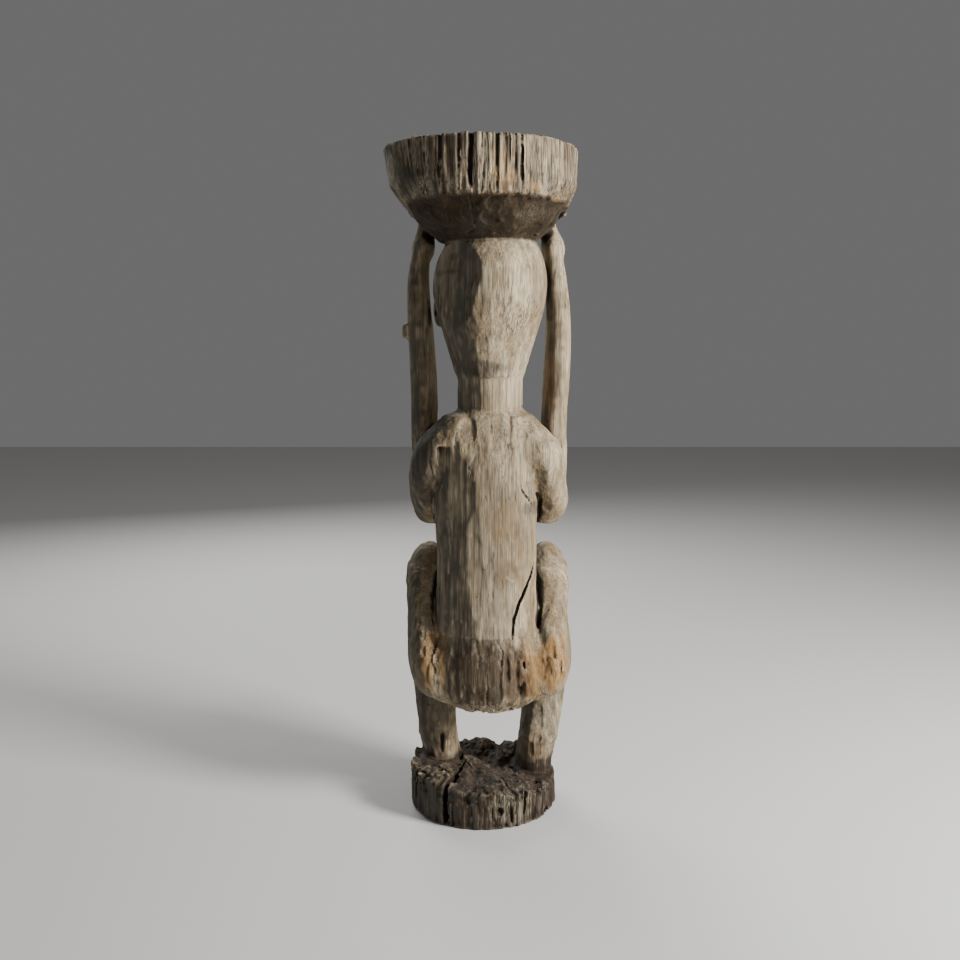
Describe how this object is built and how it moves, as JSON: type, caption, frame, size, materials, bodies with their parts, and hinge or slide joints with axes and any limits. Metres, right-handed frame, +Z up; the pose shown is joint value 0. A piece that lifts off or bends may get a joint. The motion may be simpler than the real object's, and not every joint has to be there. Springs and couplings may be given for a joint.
{
  "type": "carved ancestor figure",
  "caption": "Squatting wooden ancestor figure hewn from one log, arms raised to hold a shallow bowl on its head, on a thick round base.",
  "frame": {"origin": "on the floor under the middle of the log, on the base's flat underside", "axes": "+Z up along the log; the figure looks along -Y; its left side is +X"},
  "size_m": [0.286, 0.286, 1],
  "materials": {
    "body_wood": "matte weathered",
    "rim_wood": "matte, deeply eroded",
    "base_wood": "matte, decayed"
  },
  "bodies": {
    "root": {"base": "base_wood", "left_foot": "base_wood", "right_foot": "base_wood", "left_shin": "body_wood", "right_shin": "body_wood", "left_thigh": "body_wood", "right_thigh": "body_wood", "buttocks": "body_wood", "torso": "body_wood", "neck": "body_wood", "head": "body_wood", "left_upper_arm": "body_wood", "right_upper_arm": "body_wood", "left_forearm": "body_wood", "right_forearm": "body_wood", "left_forearm_knob": "body_wood", "left_hand": "body_wood", "right_hand": "body_wood", "bowl": "rim_wood"}
  },
  "joints": []
}
